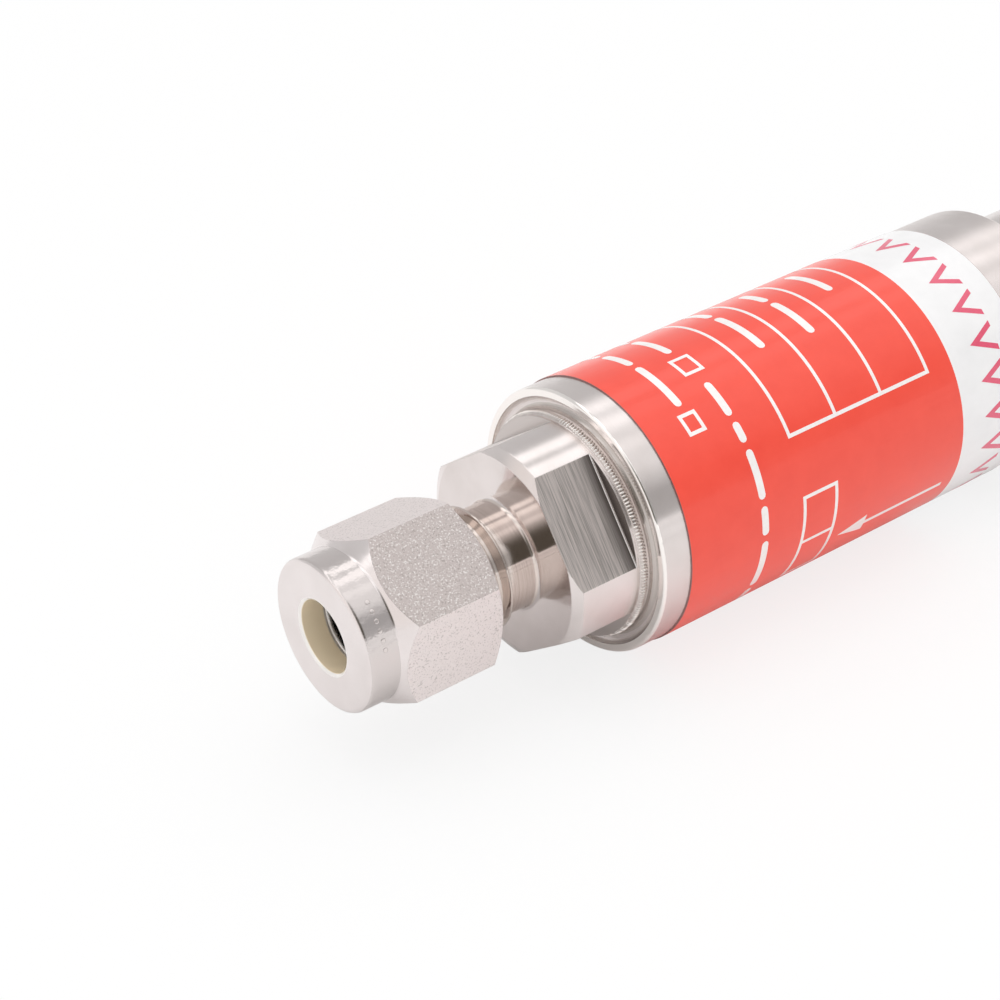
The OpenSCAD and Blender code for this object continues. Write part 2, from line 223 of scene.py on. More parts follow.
# %% The dark patch and the kinds of ray
PATCH_WAY = Vector((-0.55, -0.70, 0.45)).normalized()
PATCH_EDGE = (0.74, 0.99)
PATCH_TONE = (0.12, 0.112, 0.094, 1.0)
END_EDGE = (0.70, 0.86)
END_TONE = (1.0, 0.97, 0.95, 1.0)
FILL_LEVEL = 1.0
MIRROR_LEVEL = 1.0
BACKDROP_LEVEL = 1.0


def glow(tree, tone, level):
    """Light from all round."""
    return add(tree, "ShaderNodeBackground", {}, {"Color": tone, "Strength": level}).outputs[0]


def mirror_rays(tree, rays):
    """1 for a ray that shows something in metal or through glass."""
    return calc(tree, "MAXIMUM", rays["Is Glossy Ray"], rays["Is Transmission Ray"])


in_patch = soft_step(tree, vector_calc(tree, "DOT_PRODUCT", way, PATCH_WAY), *PATCH_EDGE)
in_patch = calc(tree, "MULTIPLY", in_patch, tent.outputs["Alpha"])
room = mixed(tree, in_patch, tent.outputs["Color"], PATCH_TONE)
at_ends = soft_step(tree, calc(tree, "ABSOLUTE", split["X"]), *END_EDGE)
room = mixed(tree, at_ends, room, END_TONE)
rays = add(tree, "ShaderNodeLightPath").outputs
fill = glow(tree, room, FILL_LEVEL)
mirror = glow(tree, room, MIRROR_LEVEL)
lit = either_shader(tree, mirror_rays(tree, rays), fill, mirror)
shown = either_shader(tree, rays["Is Camera Ray"], lit, glow(tree, WHITE, BACKDROP_LEVEL))
add(tree, "ShaderNodeOutputWorld", {}, {"Surface": shown})
print("world nodes:", len(tree.nodes))

# %% Softboxes
def softbox(name, place, width, watts):
    """A square lamp turned towards the part; mirrors don't see it, because the ramp is what they show."""
    light = bpy.data.lights.new(name, "AREA")
    light.size = width
    light.energy = watts
    lamp = bpy.data.objects.new(name, light)
    towards = (-Vector(place)).to_track_quat("-Z", "Y")
    lamp.matrix_world = Matrix.Translation(place) @ towards.to_matrix().to_4x4()
    lamp.visible_glossy = False
    scene.collection.objects.link(lamp)


softbox("top_softbox", place=(0.05, 0.02, 0.55), width=0.45, watts=0.45)
softbox("front_softbox", place=(-0.30, -0.45, 0.25), width=0.40, watts=0.40)

# %% [markdown]
# ## The table
# The table has to look white and still carry the part's shadow. A plain white plane goes grey away from the
# lamps, and more light would bleach the part. So part of the table's whiteness is its own for the rays that
# look at it, and the rest is lit, shadow included.

# %% The white table
TABLE_HALF = 1.5
TABLE_PAINT = (0.94, 0.94, 0.94, 1.0)
OWN_LEVEL = 1.0
OWN_WHITE = 0.80
MIRROR_WHITE = 0.04

table_z = cad_box[0][2]
table_mesh = bpy.data.meshes.new("table")
shape = bmesh.new()
bmesh.ops.create_grid(shape, x_segments=1, y_segments=1, size=TABLE_HALF)
bmesh.ops.translate(shape, vec=(0, 0, table_z), verts=shape.verts)
shape.to_mesh(table_mesh)
shape.free()
table = bpy.data.objects.new("table", table_mesh)
scene.collection.objects.link(table)
table_white = bpy.data.materials.new("table_white")
table_white.use_nodes = True
tree = table_white.node_tree
tree.nodes.clear()
rays = add(tree, "ShaderNodeLightPath").outputs
in_mirror = calc(tree, "MULTIPLY", mirror_rays(tree, rays), MIRROR_WHITE)
own_share = calc(tree, "MULTIPLY_ADD", rays["Is Camera Ray"], OWN_WHITE, in_mirror)
matt = add(tree, "ShaderNodeBsdfDiffuse", {}, {"Color": TABLE_PAINT}).outputs[0]
own = add(tree, "ShaderNodeEmission", {}, {"Color": WHITE, "Strength": OWN_LEVEL}).outputs[0]
add(tree, "ShaderNodeOutputMaterial", {}, {"Surface": either_shader(tree, own_share, matt, own)})
table_mesh.materials.append(table_white)
print("table at z in mm:", round(table_z / MM, 2))

# %% [markdown]
# ## Where a point is on a turned part
# A lathe leaves marks that run round the axis, so the finishes need each point's place along the axis, its
# distance from the axis and its direction round it. An angle would jump where it passes half a turn, and a
# unit vector doesn't. All of it starts from Object coordinates, which stay with the piece in every view.

# %% Places on a turned part
def places(tree):
    """Places in mm: the point, its x, how far it is along the axis and out from it, and its way round."""
    point = scaled(tree, add(tree, "ShaderNodeTexCoord").outputs["Object"], 1 / MM)
    split = split_up(tree, point)
    across = joined(tree, 0.0, split["Y"], split["Z"])
    return {
        "point": point,
        "x": split["X"],
        "along": calc(tree, "ABSOLUTE", split["X"]),
        "out": vector_calc(tree, "LENGTH", across),
        "round": vector_calc(tree, "NORMALIZE", across),
    }


def start_finish(name):
    """A new material: itself, its tree, its shader, and the places on its piece."""
    material = bpy.data.materials.new(name)
    material.use_nodes = True
    tree = material.node_tree
    return material, tree, tree.nodes["Principled BSDF"], places(tree)


def direction(turn_deg):
    """The direction from the axis at a turn."""
    return (0, math.cos(math.radians(turn_deg)), math.sin(math.radians(turn_deg)))


def reach(tree, at, turn_deg):
    """How far a point lies from the axis in the direction at a turn; less than 0 on the other side."""
    return vector_calc(tree, "DOT_PRODUCT", at["point"], direction(turn_deg))


print("direction at a quarter turn:", [round(value, 3) for value in direction(90)])

# %% [markdown]
# ## Masks, noise and relief
# A finish changes over its piece in two ways: at once, where one cut ends and the next begins, and slowly,
# as metal and ink do. Masks that are 0 or 1 make the first, and noise makes the second. Relief that is too
# fine to model is a height that only bends the light, and a second node softens sharp edges.

# %% Masks, noise and relief
MOST_NOISE = (0.3, 0.7)
EDGE_SAMPLES = 4


def over(tree, value, limit):
    return calc(tree, "GREATER_THAN", value, limit)


def under(tree, value, limit):
    return calc(tree, "LESS_THAN", value, limit)


def both(tree, first, second):
    """1 where two masks are 1, or a value where a mask is 1 and 0 elsewhere."""
    return calc(tree, "MULTIPLY", first, second)


def either(tree, chosen, inside, outside):
    """One number inside a mask and another one outside it."""
    made = add(tree, "ShaderNodeMix", {"data_type": "FLOAT"}, {"Factor": chosen, "A": outside, "B": inside})
    return made.outputs["Result"]


def layered(tree, tone, *layers):
    """A tone with other tones laid over it in turn, each by its mask."""
    for mask, other in layers:
        tone = mixed(tree, mask, tone, other)
    return tone


def noise(tree, where, scale, detail, roughness=0.5):
    """A cloudy noise: one number as Fac, and three as Color."""
    return add(tree, "ShaderNodeTexNoise", {}, {
        "Vector": where, "Scale": scale, "Detail": detail, "Roughness": roughness}).outputs


def ranged(tree, value, limits, results):
    """A value between two limits, carried over to the range between two results."""
    return add(tree, "ShaderNodeMapRange", {}, {
        "Value": value, "From Min": limits[0], "From Max": limits[1],
        "To Min": results[0], "To Max": results[1]}).outputs[0]


def spread(tree, value, low, high):
    """Noise, most of which lies in the middle, spread over the range that a socket needs."""
    return ranged(tree, value, MOST_NOISE, (low, high))


def clouded(tree, cloud, dark, light):
    """A tone that goes from dark to light with a noise."""
    return mixed(tree, spread(tree, cloud, 0.0, 1.0), dark, light)


def relief(tree, height, deep_mm, edge_mm=0.0):
    """The way a surface faces with a height on it, and with its sharp edges softened over a width."""
    inputs = {"Strength": 1.0, "Distance": deep_mm * MM, "Height": height}
    if edge_mm:
        soft = add(tree, "ShaderNodeBevel", {"samples": EDGE_SAMPLES}, {"Radius": edge_mm * MM})
        inputs["Normal"] = soft.outputs[0]
    return add(tree, "ShaderNodeBump", {}, inputs).outputs[0]


print("most noise lies between:", MOST_NOISE)

# %% [markdown]
# ## Turned steel
# The body, the connectors and most inner pieces are turned from stainless bar. A turning tool leaves rings
# far finer than a pixel, which stretch every reflection across them: that is an anisotropic shader with its
# tangent round the axis. Coarser rings show one by one. Modelled, they would need millions of faces, so
# they come from a noise that is squeezed along the outline and long round the axis. The body's end has a
# groove for the weld: it is cut bright, and it is painted lighter up to the rim's round edge, a painted
# highlight against the shade in the groove. The heat has tinted its inner wall. The ferrules are polished,
# and their round edges catch a white line.

# %% Rings and tones of turned steel
RING_TO_OUTLINE = 0.7
RING_WAVER = 1.5
ACROSS_RINGS = 0.25
LATHE_STRETCH = 0.6
STEEL_DARK = (0.71, 0.650, 0.630, 1.0)
STEEL_LIGHT = (0.79, 0.730, 0.715, 1.0)


def turned_rings(tree, at, pitch_mm):
    """Rings as a turning tool leaves them: they change along the outline, and hardly round the axis."""
    outline = calc(tree, "MULTIPLY_ADD", at["out"], RING_TO_OUTLINE, at["along"])
    slow = split_up(tree, scaled(tree, at["round"], RING_WAVER))
    spot = joined(tree, calc(tree, "DIVIDE", outline, pitch_mm), slow["Y"], slow["Z"])
    return noise(tree, spot, scale=1.0, detail=2.0, roughness=0.6)["Fac"]


def steel_tint(tree, at, dark, light):
    """Stainless steel isn't one grey: a slow change of tone over the piece."""
    return clouded(tree, noise(tree, at["point"], scale=0.22, detail=3.0, roughness=0.55)["Fac"], dark, light)


def round_tangent(tree):
    """The direction round the axis."""
    return add(tree, "ShaderNodeTangent", {"direction_type": "RADIAL", "axis": "X"}).outputs[0]


print("steel from", STEEL_DARK[:3], "to", STEEL_LIGHT[:3])

# %% The turned finish
BRIGHT_CUT = (0.08, 0.14)
RIM_MM = 25.0
GROOVE_TO_MM = 12.19
# Painted light: the groove and the rim's round edge are painted lighter, a painted highlight against the
# shade in the groove.
GROOVE_PAINTED_LIGHT = (0.95, 0.905, 0.875, 1.0)
LIP_FROM_MM = 25.31
TINT_TO_MM = 10.70
HEAT_TINT = (0.58, 0.53, 0.50, 1.0)
FERRULE_TONES = ((0.92, 0.89, 0.87, 1.0), (0.97, 0.94, 0.92, 1.0))


def turned_steel(name, cut, ring_mm, ring_height_mm=0.0, edge_mm=0.0, stretch=LATHE_STRETCH,
                 tones=(STEEL_DARK, STEEL_LIGHT), groove_from_mm=None):
    """Turned stainless steel with its range of roughness, perhaps with a weld groove from some place on."""
    material, tree, shader, at = start_finish(name)
    rings = turned_rings(tree, at, ring_mm)
    rough = spread(tree, rings, *cut)
    tone = steel_tint(tree, at, *tones)
    if groove_from_mm:
        past_rim = over(tree, at["along"], groove_from_mm)
        rough = either(tree, past_rim, spread(tree, rings, *BRIGHT_CUT), rough)
        in_groove = both(tree, past_rim, under(tree, at["out"], GROOVE_TO_MM))
        inner_wall = both(tree, under(tree, at["along"], LIP_FROM_MM), under(tree, at["out"], TINT_TO_MM))
        # The groove is painted lighter as a painted highlight; the inner wall has a heat tint.
        tone = layered(tree, tone, (in_groove, GROOVE_PAINTED_LIGHT), (inner_wall, HEAT_TINT))
    if ring_height_mm:
        set_inputs(tree, shader, {"Normal": relief(tree, rings, ring_height_mm, edge_mm)})
    set_inputs(tree, shader, {
        "Base Color": tone,
        "Metallic": 1.0,
        "Roughness": rough,
        "Anisotropic": stretch,
        "Anisotropic Rotation": ACROSS_RINGS,
        "Tangent": round_tangent(tree)})
    return material


rim_steel = turned_steel(
    "rim_steel", cut=(0.18, 0.24), ring_mm=0.07, ring_height_mm=0.0004, edge_mm=0.06, stretch=1.0,
    groove_from_mm=RIM_MM)
inner_steel = turned_steel("inner_steel", cut=(0.28, 0.38), ring_mm=0.10, ring_height_mm=0.002, edge_mm=0.05)
ferrule_steel = turned_steel(
    "ferrule_steel", cut=(0.06, 0.10), ring_mm=0.06, ring_height_mm=0.0002, edge_mm=0.42, tones=FERRULE_TONES)
dot_steel = turned_steel("dot_steel", cut=(0.12, 0.20), ring_mm=0.06, ring_height_mm=0.001, edge_mm=0.05)
print("turned finishes:", rim_steel.name, inner_steel.name, ferrule_steel.name, dot_steel.name)

# %% [markdown]
# ## The connectors
# One bar, three cuts. The collar is turned satin, the wrench flats are milled with straight lines across
# the axis, and the front face and neck are turned bright, so they mirror each other. Each flat ends at a
# step. The step wall and a strip of the flat in front of it are painted dark, painted shade, and the heel
# in the corner is painted pale and not metallic, a painted highlight. The bead is tinted by the weld's heat
# and painted darker as shade between the ripples, and the thread is painted darker, a painted shade. Faces
# of the solid could be given different materials, but its mesh stays as it is, so one finish finds each cut
# by place: a point is on a flat if it lies half the width across flats from the axis in a flat's direction.

# %% The places and looks of a connector's cuts
NEAR_MM = 0.01
FLATS_HALF_MM = 17.47 / 2
FLAT_BACK_MM = 26.5
HEEL_MM = 0.10
BEAD_END_MM = 26.17
BRIGHT_FROM_MM = 32.26
NECK_FROM_MM = 32.9
THREAD_FROM_MM = 35.5
# A painted shade: a strip of each flat in front of its step is painted dark.
SHADE_STRIP_MM = (26.55, 28.05)
SHADE_STRIP_SHARES = (0.97, 0.0)
# A painted shade: the thread is painted darker.
THREAD_SHADE_SHARE = 0.22

COLLAR_RING_MM = 0.05
COLLAR_EDGE_MM = 0.14
COLLAR_STRETCH = 0.8
MILL_LINE_MM = 0.11
MILL_LENGTH_MM = 5.0
MILLED_MM = 0.006
BRIGHT_MM = 0.0016
SATIN_MM = 0.0005
MILLED_CUT = (0.52, 0.68)
SATIN_CUT = (0.14, 0.20)
NECK_CUT = (0.05, 0.10)
HEEL_ROUGH = 0.25
MILL_STREAKS = (0.76, -0.30)
NECK_STREAKS = (0.30, -0.25)

FLAT_TONE = (0.90, 0.835, 0.81, 1.0)
NECK_TONE = (0.735, 0.648, 0.600, 1.0)
STREAK_TONE = (0.32, 0.29, 0.27, 1.0)
# Painted shade for the strip in front of each step.
SHADE_STRIP_TONE = (0.14, 0.115, 0.105, 1.0)
# The bead's heat tint, also painted darker as shade between the ripples.
BEAD_TINT_AND_SHADE = (0.58, 0.52, 0.49, 1.0)
# Painted shade on the thread.
THREAD_SHADE_TONE = (0.40, 0.345, 0.31, 1.0)
# Painted shade: the step wall is painted darker.
STEP_SHADE_TONE = (0.58, 0.53, 0.51, 1.0)
# A painted highlight: the pale heel of each flat and the pale mouth of each nut's hole.
PAINTED_EDGE_HIGHLIGHT = (0.95, 0.92, 0.90, 1.0)
print("flats from the axis in mm:", FLATS_HALF_MM)

# %% The connector finish
def connector_steel(name, flats_deg):
    """Turned steel with four milled flats, the first of them at a turn."""
    material, tree, shader, at = start_finish(name)
    along = at["along"]
    spans = [reach(tree, at, flats_deg), reach(tree, at, flats_deg + 90)]
    past_step = over(tree, along, FLAT_BACK_MM + NEAR_MM)
    on_first, on_second = [
        both(tree, past_step, over(tree, calc(tree, "ABSOLUTE", span), FLATS_HALF_MM - NEAR_MM))
        for span in spans]
    on_flat = calc(tree, "MAXIMUM", on_first, on_second)
    # The heel is a painted highlight: pale and not metallic.
    on_heel = both(tree, on_flat, under(tree, along, FLAT_BACK_MM + HEEL_MM))
    # The step wall, which is painted darker as shade.
    on_step = calc(tree, "COMPARE", along, FLAT_BACK_MM, NEAR_MM)
    on_neck = over(tree, along, NECK_FROM_MM)
    # The thread is painted darker, a painted shade.
    thread_shade = both(tree, over(tree, along, THREAD_FROM_MM), THREAD_SHADE_SHARE)
    bright = over(tree, along, BRIGHT_FROM_MM)

    rings = turned_rings(tree, at, COLLAR_RING_MM)
    across = [calc(tree, "DIVIDE", span, MILL_LENGTH_MM) for span in spans]
    spot = joined(tree, calc(tree, "DIVIDE", along, MILL_LINE_MM), *across)
    milled = noise(tree, spot, scale=1.0, detail=3.0, roughness=0.65)["Fac"]
    depth = either(tree, on_flat, MILLED_MM, either(tree, bright, BRIGHT_MM, SATIN_MM))
    height = calc(tree, "MULTIPLY", either(tree, on_flat, milled, rings), depth)

    lathe = either(tree, bright, spread(tree, rings, *BRIGHT_CUT), spread(tree, rings, *SATIN_CUT))
    rough = either(tree, on_flat, spread(tree, milled, *MILLED_CUT), lathe)
    rough = either(tree, on_neck, spread(tree, rings, *NECK_CUT), rough)
    rough = either(tree, on_heel, HEEL_ROUGH, rough)

    neck_lines = both(tree, on_neck, spread(tree, rings, *NECK_STREAKS))
    streaks = either(tree, on_flat, spread(tree, milled, *MILL_STREAKS), neck_lines)
    # Painted shade: each flat is painted dark in a strip in front of its step.
    strip = both(tree, on_flat, ranged(tree, along, SHADE_STRIP_MM, SHADE_STRIP_SHARES))
    # Painted shade and light: the strip, the bead between the ripples, the thread and the step wall are
    # painted darker, and the heel is painted pale.
    tone = layered(
        tree, steel_tint(tree, at, STEEL_DARK, STEEL_LIGHT), (on_flat, FLAT_TONE), (on_neck, NECK_TONE),
        (streaks, STREAK_TONE), (strip, SHADE_STRIP_TONE), (under(tree, along, BEAD_END_MM), BEAD_TINT_AND_SHADE),
        (thread_shade, THREAD_SHADE_TONE), (on_step, STEP_SHADE_TONE), (on_heel, PAINTED_EDGE_HIGHLIGHT))

    tangent = round_tangent(tree)
    for on_side, lines_deg in ((on_first, flats_deg + 90), (on_second, flats_deg)):
        tangent = add(tree, "ShaderNodeMix", {"data_type": "VECTOR"}, {
            "Factor": on_side, "A": tangent, "B": direction(lines_deg)}).outputs["Result"]
    set_inputs(tree, shader, {
        "Base Color": tone,
        "Metallic": either(tree, on_heel, 0.0, 1.0),
        "Roughness": rough,
        "Anisotropic": COLLAR_STRETCH,
        "Anisotropic Rotation": ACROSS_RINGS,
        "Tangent": tangent,
        "Normal": relief(tree, height, deep_mm=1.0, edge_mm=COLLAR_EDGE_MM)})
    return material


outlet_collar_steel = connector_steel("outlet_collar_steel", flats_deg=140.7)
inlet_collar_steel = connector_steel("inlet_collar_steel", flats_deg=118.0)
print("connector finishes:", outlet_collar_steel.name, inlet_collar_steel.name)

# %% [markdown]
# ## The tube nuts
# A tube nut is cut from hex bar. Its six faces keep the pitted skin of the blasted bar, coarser on every
# other face, while the lathe leaves the face, the shoulder and the cones smooth. The coarser faces are also
# painted darker and the others lighter: painted shade and painted light on one skin. Real pits would need a
# very fine mesh, so they are relief and specks of tone: white specks are painted glints, and dark specks are
# painted shade in the pits. A point is on the hex skin if it lies half the width across flats out in one of
# three directions. The mouth of the hole is painted pale and hardly metallic, a painted highlight, and the
# bore behind it is painted a warm cream, painted light where it would mirror only its own dark inside.

# %% The places and looks of a nut's cuts
HEX_HALF_MM = 14.29 / 2
FACE_DEG = 60
FACE_PAIRS = 3
BORE_MM = 3.27
MOUTH_MM = 3.50
MOUTH_METAL = 0.15
SHOULDER_FROM_MM = 48.4
FACE_TO_MM = 6.7

NUT_RING_MM = 0.06
NUT_RING_HEIGHT_MM = 0.0006
NUT_EDGE_MM = 0.10
SPECKS_PER_MM = 6.5
WAVES_PER_MM = 1.6
GLINT_LIMITS = (0.53, 0.70)
PIT_LIMITS = (0.55, 0.72)
COARSE_MM = 0.034
FINE_MM = 0.016
WAVE_MM = 0.010
SHOULDER_WAVE_MM = 0.025
SKIN_CUT = (0.46, 0.54)
SHOULDER_CUT = (0.12, 0.18)
COARSE_GLINT = 0.75
FINE_GLINT = 0.30
COARSE_PIT = 0.50
FINE_PIT = 0.44

# Every other hex face is painted darker and the others lighter: painted shade and painted light on one skin.
SHADED_COARSE_SKIN = (0.62, 0.555, 0.537, 1.0)
LIT_FINE_SKIN = (0.86, 0.790, 0.778, 1.0)
NUT_DARK = (0.77, 0.710, 0.698, 1.0)
NUT_LIGHT = (0.84, 0.780, 0.770, 1.0)
SHOULDER_TONE = (0.69, 0.635, 0.620, 1.0)
# A painted highlight: the tone of the glints.
PAINTED_GLINT_TONE = (0.97, 0.94, 0.92, 1.0)
# Painted shade: the tone of dark specks in the pits.
PIT_SHADE_TONE = (0.30, 0.26, 0.24, 1.0)
# Painted light: a warm cream for the bore, which would mirror only its own dark inside.
BORE_PAINTED_LIGHT = (0.96, 0.83, 0.62, 1.0)
print("hex faces from the axis in mm:", HEX_HALF_MM)

# %% The nut finish
def nut_steel(name, corner_deg):
    """Blasted hex bar with turned ends; one of its corners is at a turn."""
    material, tree, shader, at = start_finish(name)
    face_deg = corner_deg + FACE_DEG / 2
    furthest = 0.0
    for face in range(FACE_PAIRS):
        span = calc(tree, "ABSOLUTE", reach(tree, at, face_deg + FACE_DEG * face))
        furthest = calc(tree, "MAXIMUM", furthest, span)
    on_hex = over(tree, furthest, HEX_HALF_MM - NEAR_MM)
    # The cosine of three times the turn, 4 c^3 - 3 c, is above 0 on every other face.
    facing = calc(tree, "DIVIDE", reach(tree, at, face_deg), at["out"])
    square = calc(tree, "MULTIPLY", facing, facing)
    thrice = calc(tree, "MULTIPLY", facing, calc(tree, "MULTIPLY_ADD", square, 4, -3))
    # Every other face, with a coarser grain and a painted shade.
    coarse_shaded_face = over(tree, thrice, 0)
    on_shoulder = both(tree, over(tree, at["along"], SHOULDER_FROM_MM), over(tree, at["out"], FACE_TO_MM))
    # The mouth is painted pale and hardly metallic, a painted highlight.
    in_mouth = under(tree, at["out"], MOUTH_MM)
    # The bore is painted a warm cream, painted light.
    in_bore = under(tree, at["out"], BORE_MM)

    rings = turned_rings(tree, at, NUT_RING_MM)
    specks = noise(tree, at["point"], scale=SPECKS_PER_MM, detail=1.0)
    kinds = add(tree, "ShaderNodeSeparateColor", {}, {0: specks["Color"]}).outputs
    waves = noise(tree, at["point"], scale=WAVES_PER_MM, detail=2.0)["Fac"]
    skin_depth = either(tree, coarse_shaded_face, COARSE_MM, FINE_MM)
    skin = calc(tree, "MULTIPLY_ADD", kinds[2], skin_depth, calc(tree, "MULTIPLY", waves, WAVE_MM))
    ring_height = calc(tree, "MULTIPLY", rings, NUT_RING_HEIGHT_MM)
    turned = calc(tree, "MULTIPLY_ADD", both(tree, on_shoulder, waves), SHOULDER_WAVE_MM, ring_height)
    height = either(tree, on_hex, skin, turned)

    lathe = either(tree, on_shoulder, spread(tree, rings, *SHOULDER_CUT), spread(tree, rings, *SATIN_CUT))
    rough = either(tree, on_hex, spread(tree, specks["Fac"], *SKIN_CUT), lathe)

    # Painted glints: specks painted near white as highlights.
    painted_glint = both(tree, soft_step(tree, kinds[0], *GLINT_LIMITS), on_hex)
    painted_glint = calc(tree, "MULTIPLY", painted_glint, either(tree, coarse_shaded_face, COARSE_GLINT, FINE_GLINT))
    # Painted shade: dark specks in the pits.
    pit_shade = both(tree, soft_step(tree, kinds[1], *PIT_LIMITS), on_hex)
    pit_shade = calc(tree, "MULTIPLY", pit_shade, either(tree, coarse_shaded_face, COARSE_PIT, FINE_PIT))
    # The hex skin is painted darker on every other face and lighter on the others, painted shade and light.
    tone = layered(
        tree, steel_tint(tree, at, NUT_DARK, NUT_LIGHT), (on_shoulder, SHOULDER_TONE),
        (on_hex, mixed(tree, coarse_shaded_face, LIT_FINE_SKIN, SHADED_COARSE_SKIN)), (painted_glint, PAINTED_GLINT_TONE), (pit_shade, PIT_SHADE_TONE),
        (in_mouth, PAINTED_EDGE_HIGHLIGHT), (in_bore, BORE_PAINTED_LIGHT))
    set_inputs(tree, shader, {
        "Base Color": tone,
        "Metallic": either(tree, in_mouth, MOUTH_METAL, 1.0),
        "Roughness": rough,
        "Normal": relief(tree, height, deep_mm=1.0, edge_mm=NUT_EDGE_MM)})
    return material


outlet_nut_steel = nut_steel("outlet_nut_steel", corner_deg=94.09)
inlet_nut_steel = nut_steel("inlet_nut_steel", corner_deg=71.0)
print("nut finishes:", outlet_nut_steel.name, inlet_nut_steel.name)

# %% [markdown]
# ## The label film
# The label is a glossy printed film, rolled once round the body: red, with a white band at the inlet side.
# An image could be wrapped round it, but two tones and a limit say the same and stay sharp at any size. Ink
# under a clear coat is a coloured base with a coat on top. The film isn't perfectly even, so its
# reflections waver in long soft streaks along the axis. Its cut edge is painted darker, a painted shade for
# the thin shadow along the film's edge.

# %% The label finish
BAND_FROM_MM = 9.9
FILM_ENDS_MM = (-22.4, 18.4)
CUT_EDGE_MM = 0.02
# Painted shade: the film's cut edge is painted dark, for the thin shadow along it.
CUT_EDGE_SHADE_TONE = (0.30, 0.14, 0.13, 1.0)
FILM_REDS = ((0.90, 0.066, 0.036, 1.0), (0.94, 0.078, 0.044, 1.0))
FILM_WHITES = ((0.87, 0.865, 0.87, 1.0), (0.92, 0.915, 0.92, 1.0))
FILM_ROUGH = (0.32, 0.42)
FILM_SPECULAR = 0.3
FILM_COAT = 0.6
COAT_ROUGH = 0.15
WAVER_STRETCH = (0.05, 0.7, 0.7)
WAVER_MM = 0.03


def label_film(name):
    """Printed film, red up to the band and white from there."""
    material, tree, shader, at = start_finish(name)
    mottle = noise(tree, at["point"], scale=0.35, detail=4.0, roughness=0.6)["Fac"]
    on_band = over(tree, at["x"], BAND_FROM_MM)
    middle = sum(FILM_ENDS_MM) / 2
    half = (FILM_ENDS_MM[1] - FILM_ENDS_MM[0]) / 2
    from_middle = calc(tree, "ABSOLUTE", calc(tree, "SUBTRACT", at["x"], middle))
    # The cut edge, painted darker as shade.
    on_cut = over(tree, from_middle, half - CUT_EDGE_MM)
    tone = layered(
        tree, clouded(tree, mottle, *FILM_REDS), (on_band, clouded(tree, mottle, *FILM_WHITES)),
        (on_cut, CUT_EDGE_SHADE_TONE))
    stretched = vector_calc(tree, "MULTIPLY", at["point"], WAVER_STRETCH)
    waver = relief(tree, noise(tree, stretched, scale=1.0, detail=3.0)["Fac"], WAVER_MM)
    set_inputs(tree, shader, {
        "Base Color": tone,
        "Roughness": spread(tree, mottle, *FILM_ROUGH),
        "Normal": waver,
        "Coat Normal": waver,
        "Specular IOR Level": FILM_SPECULAR,
        "Coat Weight": FILM_COAT,
        "Coat Roughness": COAT_ROUGH})
    return material


film = label_film("label_film")
print("label finish:", film.name)

# %% [markdown]
# ## Hidden pieces
# The thimble, the strainer, the spring and the seals sit inside the body and show only in a cut or a moved
# view. Each still has its own finish: sintered steel is a mass of fused grains, drawn wire is bright, and
# rubber and gasket plastic are dull with a fine skin. All four are grains of some size on a clouded tone,
# so one function makes them.

# %% Finishes of the inner pieces
ROUGH_SPAN = 0.05
GRAINS_PER_CLOUD = 3


def grainy(name, tones, metal, rough, grains_per_mm, depth_mm):
    """A finish with grains of one size, for metal or plastic."""
    material, tree, shader, at = start_finish(name)
    grains = add(tree, "ShaderNodeTexVoronoi", {}, {"Vector": at["point"], "Scale": grains_per_mm})
    cloud = noise(tree, at["point"], scale=grains_per_mm / GRAINS_PER_CLOUD, detail=4.0)["Fac"]
    set_inputs(tree, shader, {
        "Base Color": clouded(tree, cloud, *tones),
        "Metallic": metal,
        "Roughness": spread(tree, cloud, rough - ROUGH_SPAN, rough + ROUGH_SPAN),
        "Normal": relief(tree, grains.outputs["Distance"], depth_mm)})
    return material


sintered = grainy(
    "sintered_steel", tones=((0.40, 0.38, 0.35, 1), (0.56, 0.54, 0.50, 1)),
    metal=1.0, rough=0.60, grains_per_mm=8.0, depth_mm=0.06)
wire = grainy(
    "spring_wire", tones=((0.57, 0.56, 0.55, 1), (0.66, 0.65, 0.64, 1)),
    metal=1.0, rough=0.25, grains_per_mm=12.0, depth_mm=0.002)
rubber = grainy(
    "seal_rubber", tones=((0.020, 0.020, 0.021, 1), (0.035, 0.034, 0.034, 1)),
    metal=0.0, rough=0.50, grains_per_mm=10.0, depth_mm=0.004)
gasket = grainy(
    "gasket_plastic", tones=((0.84, 0.84, 0.80, 1), (0.90, 0.90, 0.87, 1)),
    metal=0.0, rough=0.45, grains_per_mm=6.0, depth_mm=0.004)
print("inner finishes:", sintered.name, wire.name, rubber.name, gasket.name)

# %% [markdown]
# ## Finishes on the solids
# The record gives every solid a material slot, and most finishes go by that. The body, the connectors and
# the nuts have finishes of their own, because their cuts are found by place, and the two ends stand at
# different turns.

# %% Give every solid its finish
FINISH_OF_SLOT = {
    "turned_steel": inner_steel,
    "ferrule_steel": ferrule_steel,
    "spring_wire": wire,
    "sintered_steel": sintered,
    "seal_rubber": rubber,
    "gasket_plastic": gasket,
    "label_film": film,
}
FINISH_OF_NODE = {
    "body_shell": rim_steel,
    "outlet_connector": outlet_collar_steel,
    "inlet_connector": inlet_collar_steel,
    "outlet_nut": outlet_nut_steel,
    "inlet_nut": inlet_nut_steel,
}
slots = {part["node"]: part["material_slot"] for part in frame["record"]["subparts"]}
for name, solid in nodes.items():
    solid.data.materials.clear()
    solid.data.materials.append(FINISH_OF_NODE.get(name) or FINISH_OF_SLOT[slots[name]])
print("solids with a finish:", len(nodes))

